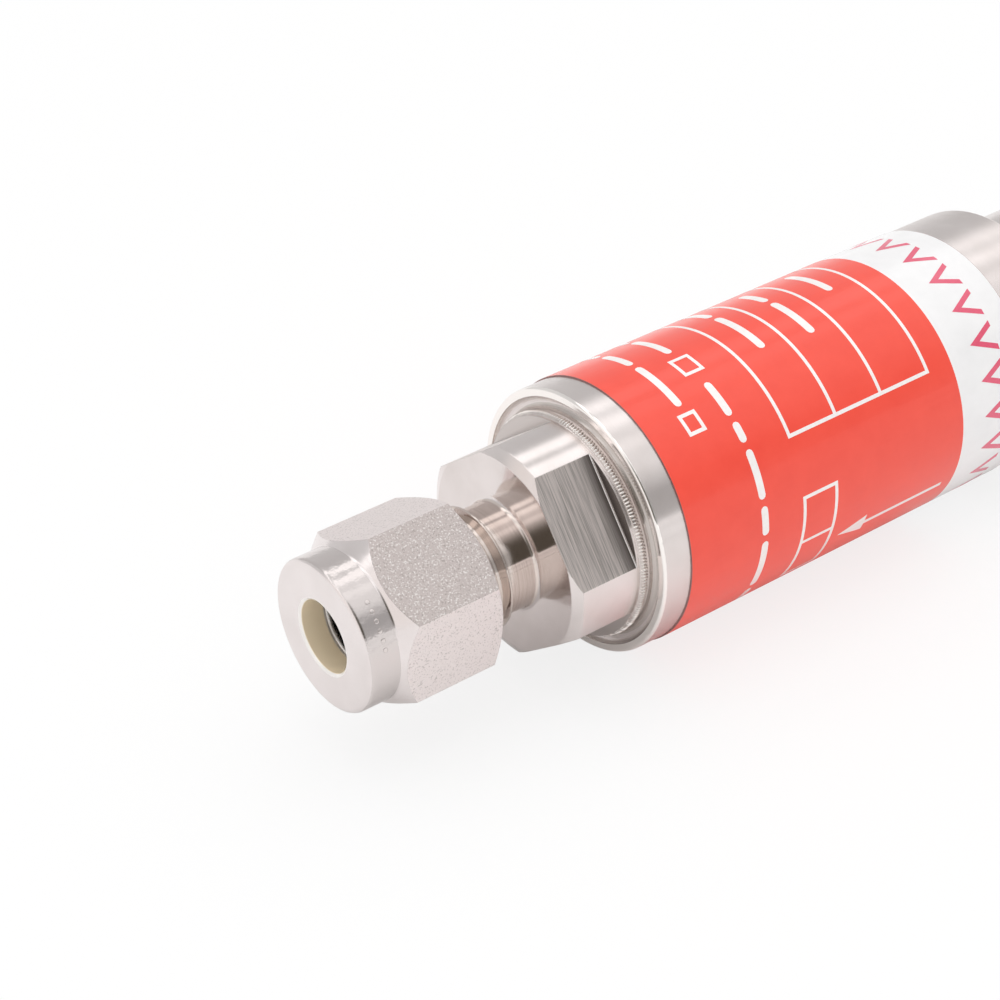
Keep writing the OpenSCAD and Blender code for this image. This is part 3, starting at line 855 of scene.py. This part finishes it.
# %% [markdown]
# ## From a tree to a plain piece
# Geometry Nodes make what repeats or follows a surface. A modifier's result isn't a mesh of its own, so
# each piece is evaluated once, made a plain mesh, and its modifier is dropped. Inputs are set by the
# identifier that Blender gives each socket, because two sockets may share a name.

# %% Helpers for Geometry Nodes
def new_tree(name, inputs):
    """An empty tree with a geometry in and out and the named inputs; gives the tree and its two end nodes."""
    tree = bpy.data.node_groups.new(name, "GeometryNodeTree")
    tree.interface.new_socket("Geometry", in_out="INPUT", socket_type="NodeSocketGeometry")
    tree.interface.new_socket("Geometry", in_out="OUTPUT", socket_type="NodeSocketGeometry")
    for label, kind in inputs.items():
        tree.interface.new_socket(label, in_out="INPUT", socket_type="NodeSocket" + kind)
    return tree, tree.nodes.new("NodeGroupInput").outputs, tree.nodes.new("NodeGroupOutput").inputs


def on_turn(tree, place, out, turn):
    """A point by its place along the axis, its distance from the axis and its turn."""
    sideways = calc(tree, "MULTIPLY", out, calc(tree, "COSINE", turn))
    upwards = calc(tree, "MULTIPLY", out, calc(tree, "SINE", turn))
    return joined(tree, place, sideways, upwards)


def moved(tree, shape, spot):
    """A shape with its points set to new places."""
    return add(tree, "GeometryNodeSetPosition", {}, {"Geometry": shape, "Position": spot}).outputs[0]


def rounded(tree, shape):
    """A shape whose faces are shaded smooth."""
    return add(tree, "GeometryNodeSetShadeSmooth", {}, {0: shape}).outputs[0]


def end_tree(tree, end, shape, finish):
    """Ends a tree with real faces in their finish."""
    real = add(tree, "GeometryNodeRealizeInstances", {}, {0: shape}).outputs[0]
    dressed = add(tree, "GeometryNodeSetMaterial", {}, {"Geometry": real, "Material": finish})
    tree.links.new(dressed.outputs[0], end[0])
    print(tree.name, "nodes:", len(tree.nodes))


def grow(name, tree, values, flat=None):
    """A plain piece that rides on the housing, made by a tree from its values and perhaps a flat drawing."""
    piece = bpy.data.objects.new(name, flat or bpy.data.meshes.new(name))
    scene.collection.objects.link(piece)
    modifier = piece.modifiers.new("shape", "NODES")
    modifier.node_group = tree
    for item in tree.interface.items_tree:
        if item.in_out == "INPUT" and item.name in values:
            modifier[item.identifier] = values[item.name]
    ready = piece.evaluated_get(bpy.context.evaluated_depsgraph_get())
    mesh = bpy.data.meshes.new_from_object(ready)
    piece.modifiers.clear()
    piece.data = mesh
    mesh.name = name
    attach(piece, "housing")
    print(name, "faces:", len(mesh.polygons))
    return piece


print("geometry helpers ready")

# %% [markdown]
# ## Weld ripples
# Each connector is welded to the body, and the bead is a row of frozen ripples, about three to a
# millimetre. The solid holds the bead as a plain ring. Each ripple could be placed by a loop in Python, but
# one low dome that a tree repeats by index is one short rule: the turn is index times step, and a rotation
# about X alone carries the dome's own axes to along, out and round. Every ripple is a little odd in size
# and sways a little, from a fixed seed.

# %% The tree that repeats a dome round the axis
def row_tree(name, finish):
    """A row of low domes round the axis, alike or a little odd."""
    tree, start, end = new_tree(name, {
        "Count": "Int", "Place": "Float", "Out": "Float", "First": "Float", "Step": "Float", "Size": "Vector",
        "Segments": "Int", "Rings": "Int", "Tilt": "Float", "Odd": "Float", "Sway": "Float", "Seed": "Int"})
    row = add(tree, "GeometryNodePoints", {}, {"Count": start["Count"]}).outputs[0]
    number = add(tree, "GeometryNodeInputIndex").outputs[0]
    turn = calc(tree, "MULTIPLY_ADD", number, start["Step"], start["First"])
    dome = add(tree, "GeometryNodeMeshUVSphere", {}, {
        "Segments": start["Segments"], "Rings": start["Rings"], "Radius": 1.0}).outputs["Mesh"]
    odd = add(tree, "FunctionNodeRandomValue", {"data_type": "FLOAT"}, {
        2: calc(tree, "SUBTRACT", 1.0, start["Odd"]),
        3: calc(tree, "ADD", 1.0, start["Odd"]),
        "Seed": start["Seed"]}).outputs[1]
    sway = add(tree, "FunctionNodeRandomValue", {"data_type": "FLOAT"}, {
        2: calc(tree, "MULTIPLY", start["Sway"], -1.0),
        3: start["Sway"],
        "Seed": calc(tree, "ADD", start["Seed"], 1.0)}).outputs[1]
    laid = add(tree, "GeometryNodeInstanceOnPoints", {}, {
        "Points": moved(tree, row, on_turn(tree, start["Place"], start["Out"], turn)),
        "Instance": rounded(tree, dome),
        "Rotation": joined(tree, calc(tree, "ADD", turn, start["Tilt"]), sway, 0.0),
        "Scale": scaled(tree, start["Size"], odd)})
    end_tree(tree, end, laid.outputs[0], finish)
    return tree


weld_steel = turned_steel(
    "weld_steel", cut=(0.10, 0.16), ring_mm=0.05, tones=((0.90, 0.85, 0.82, 1.0), (0.96, 0.92, 0.89, 1.0)))
ripples = row_tree("weld_ripples", weld_steel)

# %% Weld both ends
BEAD_PLACE_MM = 25.81
BEAD_OUT_MM = 10.09
RIPPLES = 212

for end_name, side, seed in (("outlet", -1, 4), ("inlet", 1, 9)):
    weld = grow(end_name + "_weld", ripples, {
        "Count": RIPPLES,
        "Place": side * BEAD_PLACE_MM * MM,
        "Out": BEAD_OUT_MM * MM,
        "Step": math.tau / RIPPLES,
        "Size": (0.40 * MM, 0.33 * MM, 0.125 * MM),
        "Segments": 8,
        "Rings": 6,
        "Tilt": 0.12,
        "Odd": 0.10,
        "Sway": 0.16,
        "Seed": seed})

# %% [markdown]
# ## The valve spring
# The spring is the one piece that changes its length: as the valve opens, the poppet presses it together.
# This coil stands for the solid, wound between the two ends of its box. A screw modifier winds a wire at one
# pitch only. A tree can follow any path: the points of a line are placed by turn, with a closed turn at each
# end as real springs have, and a round wire is swept along them.

# %% The coil tree
CLOSED_PITCH = 1.05
WIRE_SIDES = 12


def coil_tree(finish):
    """A coil between two places on the axis, with one closed turn at each end."""
    tree, start, end = new_tree("wound_coil", {
        "From": "Float", "To": "Float", "Out": "Float", "Wire": "Float", "Turns": "Float", "Points": "Int"})
    line = add(tree, "GeometryNodeCurvePrimitiveLine").outputs[0]
    steps = add(tree, "GeometryNodeResampleCurve", {"mode": "COUNT"}, {
        "Curve": line, "Count": start["Points"]})
    share = add(tree, "GeometryNodeSplineParameter").outputs["Factor"]
    turns = calc(tree, "MULTIPLY", share, start["Turns"])
    half_wire = calc(tree, "DIVIDE", start["Wire"], 2)
    first = calc(tree, "ADD", start["From"], half_wire)
    last = calc(tree, "SUBTRACT", start["To"], half_wire)
    closed_pitch = calc(tree, "MULTIPLY", start["Wire"], CLOSED_PITCH)
    length = calc(tree, "SUBTRACT", last, first)
    open_length = calc(tree, "SUBTRACT", length, calc(tree, "MULTIPLY", closed_pitch, 2))
    open_turns = calc(tree, "SUBTRACT", start["Turns"], 2)
    open_pitch = calc(tree, "DIVIDE", open_length, open_turns)
    past_first = calc(tree, "MAXIMUM", calc(tree, "SUBTRACT", turns, 1), 0)
    on_open = calc(tree, "MINIMUM", past_first, open_turns)
    on_closed = calc(tree, "SUBTRACT", turns, on_open)
    place = calc(tree, "MULTIPLY_ADD", on_closed, closed_pitch, first)
    place = calc(tree, "MULTIPLY_ADD", on_open, open_pitch, place)
    spot = on_turn(tree, place, start["Out"], calc(tree, "MULTIPLY", turns, math.tau))
    section = add(tree, "GeometryNodeCurvePrimitiveCircle", {}, {
        "Resolution": WIRE_SIDES, "Radius": half_wire})
    swept = add(tree, "GeometryNodeCurveToMesh", {}, {
        "Curve": moved(tree, steps.outputs[0], spot), "Profile Curve": section.outputs[0], "Fill Caps": True})
    end_tree(tree, end, rounded(tree, swept.outputs[0]), finish)
    return tree


coils = coil_tree(wire)

# %% Wind the spring
SPRING_MM = 6.4
WIRE_MM = 0.4
COILS = 6
POINTS_PER_TURN = 32

spring_low, spring_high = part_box("valve_spring")
coil = grow("spring_coil", coils, {
    "From": spring_low[0],
    "To": spring_high[0],
    "Out": SPRING_MM / 2 * MM,
    "Wire": WIRE_MM * MM,
    "Turns": float(COILS),
    "Points": COILS * POINTS_PER_TURN + 1})
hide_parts("valve_spring")
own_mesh(coil)

# %% [markdown]
# ## Print
# The print is ink on the film: a table, tick boxes, rows of plain bars, an arrow for the flow, and chevrons
# on the white band. It could be part of the film's finish, but ink that is a thin piece of its own keeps
# its edges sharp and stands a little proud. Drawing on a cylinder is awkward, so everything is drawn flat,
# with the turn in degrees as the second direction, and one tree then rolls the drawing round the label.

# %% Draw flat
BAR_END_STEPS = 5
BAR_GAP_DEG = 3.0
STRIP_DEG = 2.5
CUT_REACH_MM = 1e-5


class Drawing:
    """A flat drawing: places along the axis in mm against turns in degrees."""

    def __init__(self, radius_mm):
        self.mm_per_degree = math.radians(1) * radius_mm
        self.shape = bmesh.new()

    def outline(self, corners):
        """One filled shape from its corners, each a place in mm and a turn in degrees."""
        made = [self.shape.verts.new((x, turn * self.mm_per_degree, 0)) for x, turn in corners]
        self.shape.faces.new(made)

    def box(self, x0, x1, turn0, turn1):
        self.outline([(x0, turn0), (x1, turn0), (x1, turn1), (x0, turn1)])

    def frame(self, x0, x1, turn0, turn1, line_mm):
        """A box drawn with a line, from four bars that meet without overlap."""
        line_deg = line_mm / self.mm_per_degree
        self.box(x0, x1, turn0, turn0 + line_deg)
        self.box(x0, x1, turn1 - line_deg, turn1)
        self.box(x0, x0 + line_mm, turn0 + line_deg, turn1 - line_deg)
        self.box(x1 - line_mm, x1, turn0 + line_deg, turn1 - line_deg)

    def bar(self, x, turn0, turn1, high_mm):
        """A bar with round ends, along the turn."""
        end_deg = high_mm / 2 / self.mm_per_degree
        corners = []
        for centre, first in ((turn1 - end_deg, 90), (turn0 + end_deg, 270)):
            for step in range(BAR_END_STEPS + 1):
                angle = math.radians(first - 180 * step / BAR_END_STEPS)
                side = math.sin(angle) * high_mm / 2
                ahead = math.cos(angle) * end_deg
                corners.append((x + side, centre + ahead))
        self.outline(corners)

    def row(self, x, turn0, lengths_deg, high_mm):
        """A row of bars with gaps, from a first turn."""
        turn = turn0
        for length in lengths_deg:
            self.bar(x, turn, turn + length, high_mm)
            turn += length + BAR_GAP_DEG

    def flat_mesh(self, name):
        """The drawing cut into narrow strips, so that it can bend, in metres."""
        strip = STRIP_DEG * self.mm_per_degree
        turns = [vert.co.y for vert in self.shape.verts]
        cut = math.ceil(min(turns) / strip) * strip
        while cut < max(turns):
            everything = self.shape.verts[:] + self.shape.edges[:] + self.shape.faces[:]
            bmesh.ops.bisect_plane(
                self.shape, geom=everything, dist=CUT_REACH_MM, plane_co=(0, cut, 0), plane_no=(0, 1, 0))
            cut += strip
        bmesh.ops.scale(self.shape, vec=(MM, MM, MM), verts=self.shape.verts)
        for face in self.shape.faces:
            if face.normal.z < 0:
                face.normal_flip()
        mesh = bpy.data.meshes.new(name)
        self.shape.to_mesh(mesh)
        self.shape.free()
        return mesh


print("strip in degrees:", STRIP_DEG)

# %% The tree that rolls a drawing
SAME_POINT = 1e-7


def roll_tree(finish):
    """A flat drawing raised to the ink's thickness and rolled round the axis."""
    tree, start, end = new_tree("rolled_print", {"Radius": "Float", "Ink": "Float"})
    raised = add(tree, "GeometryNodeExtrudeMesh", {"mode": "FACES"}, {
        "Mesh": start["Geometry"], "Offset Scale": start["Ink"], "Individual": False})
    underside = add(tree, "GeometryNodeFlipFaces", {}, {0: start["Geometry"]})
    closed = add(tree, "GeometryNodeJoinGeometry", {}, {0: raised.outputs["Mesh"]})
    tree.links.new(underside.outputs[0], closed.inputs[0])
    merged = add(tree, "GeometryNodeMergeByDistance", {}, {
        "Geometry": closed.outputs[0], "Distance": SAME_POINT})
    flat = split_up(tree, add(tree, "GeometryNodeInputPosition").outputs[0])
    turn = calc(tree, "DIVIDE", flat["Y"], start["Radius"])
    out = calc(tree, "ADD", start["Radius"], flat["Z"])
    rolled = moved(tree, merged.outputs[0], on_turn(tree, flat["X"], out, turn))
    outward = add(tree, "GeometryNodeFlipFaces", {}, {0: rolled})
    end_tree(tree, end, outward.outputs[0], finish)
    return tree


print("merges within mm:", SAME_POINT / MM)

# %% The inks
INK_ROUGH = (0.34, 0.44)
INK_COAT = 1.0


def ink(name, thin, full):
    """Ink under the same clear coat as the film, a little thinner in places."""
    material, tree, shader, at = start_finish(name)
    cover = noise(tree, at["point"], scale=2.5, detail=4.0, roughness=0.65)["Fac"]
    set_inputs(tree, shader, {
        "Base Color": clouded(tree, cover, thin, full),
        "Roughness": spread(tree, cover, *INK_ROUGH),
        "Coat Weight": INK_COAT,
        "Coat Roughness": COAT_ROUGH})
    return material


white_ink = ink("white_ink", thin=(0.92, 0.86, 0.84, 1.0), full=(0.96, 0.94, 0.93, 1.0))
band_ink = ink("band_ink", thin=(0.74, 0.060, 0.140, 1.0), full=(0.80, 0.075, 0.165, 1.0))
print("inks:", white_ink.name, band_ink.name)

# %% White print on the red
FILM_MM = 12.32
INK_MM = 0.012
LINE_MM = 0.34
TABLE_BAR_MM = 0.8
ROW_BAR_MM = 0.75
TABLE_LINES_MM = (7.0, 1.25, -4.2, -9.6)
TABLE_TURNS = (-6.0, 143.0)
ROLLED_SIZES = {"Radius": FILM_MM * MM, "Ink": INK_MM * MM}
# Each row of bars: its place along the axis in mm, and its first turn and its bars' lengths in degrees.
TABLE_ROWS = (
    (4.2, 4, (22, 14)), (4.2, 62, (28,)), (-1.4, 4, (16, 20)), (-1.4, 62, (17, 25)),
    (-6.7, 4, (24, 10)), (-6.7, 50, (22, 29)))
LOOSE_ROWS = ((-14.0, 8, (30, 18, 24)), (-14.1, 108, (17, 9, 21, 13, 26, 11)), (-17.8, 36, (26, 18, 27)))
# Each box: its two places along the axis in mm and its two turns in degrees.
TICK_BOXES = ((-15.2, -13.0, 90.5, 101.7), (-18.75, -16.85, 116.4, 126.2))
TWO_CELLS = (-9.7, -5.6, 168, 216)
ARROW_SHAFT = (-1.3, 8.4, 198.2, 200.2)
ARROW_HEAD = ((-1.3, 194.5), (-4.55, 199.2), (-1.3, 203.9))

white = Drawing(FILM_MM)
line_deg = LINE_MM / white.mm_per_degree
for x in TABLE_LINES_MM:
    white.box(x - LINE_MM / 2, x + LINE_MM / 2, *TABLE_TURNS)
for upper, lower in zip(TABLE_LINES_MM, TABLE_LINES_MM[1:]):
    for turn in (TABLE_TURNS[0], TABLE_TURNS[1] - line_deg):
        white.box(lower + LINE_MM / 2, upper - LINE_MM / 2, turn, turn + line_deg)
for row in TABLE_ROWS:
    white.row(*row, TABLE_BAR_MM)
for row in LOOSE_ROWS:
    white.row(*row, ROW_BAR_MM)
for box in TICK_BOXES + (TWO_CELLS,):
    white.frame(*box, LINE_MM)
cell_turn = (TWO_CELLS[2] + TWO_CELLS[3]) / 2
white.box(TWO_CELLS[0] + LINE_MM, TWO_CELLS[1] - LINE_MM, cell_turn - line_deg, cell_turn)
white.box(*ARROW_SHAFT)
white.outline(ARROW_HEAD)
white_print = grow("white_print", roll_tree(white_ink), ROLLED_SIZES, white.flat_mesh("white_print"))

# %% Chevrons on the white band
CHEVRONS = 16
CHEVRON_FIRST_DEG = -20
CHEVRON_STEP_DEG = 16
CHEVRON_HALF_DEG = 6.6
CHEVRON_X_MM = (12.7, 15.8)
STROKE_MM = 0.5

band = Drawing(FILM_MM)
low, high = CHEVRON_X_MM
lean = math.atan2(CHEVRON_HALF_DEG * band.mm_per_degree, high - low)
wide = STROKE_MM / math.cos(lean) / band.mm_per_degree
inner = low + STROKE_MM / math.sin(lean)
for number in range(CHEVRONS):
    turn = CHEVRON_FIRST_DEG + CHEVRON_STEP_DEG * number
    first, last = turn - CHEVRON_HALF_DEG, turn + CHEVRON_HALF_DEG
    band.outline([
        (high, first), (low, turn), (high, last), (high, last - wide), (inner, turn), (high, first + wide)])
band_print = grow("band_print", roll_tree(band_ink), ROLLED_SIZES, band.flat_mesh("band_print"))

# %% [markdown]
# ## Raised dots
# The round shoulder of each nut carries a row of plain dots. Bump in the finish would vanish from the
# outline, so each dot is a low dome. The tree of the weld ripples lays them too, over part of the turn
# only, with no odd sizes and no sway.

# %% Dots on the shoulders
SHOULDER_MM = 6.8
SHOULDER_PLACE_MM = 49.6
DOTS = 6
DOT_STEP_DEG = 7.0

dots = row_tree("shoulder_dots", dot_steel)
for end_name, side, first_deg in (("outlet", -1, 128.0), ("inlet", 1, 40.0)):
    row = grow(end_name + "_dots", dots, {
        "Count": DOTS,
        "Place": side * SHOULDER_PLACE_MM * MM,
        "Out": SHOULDER_MM * MM,
        "First": math.radians(first_deg),
        "Step": math.radians(DOT_STEP_DEG),
        "Size": (0.22 * MM, 0.03 * MM, 0.22 * MM),
        "Segments": 12,
        "Rings": 8})
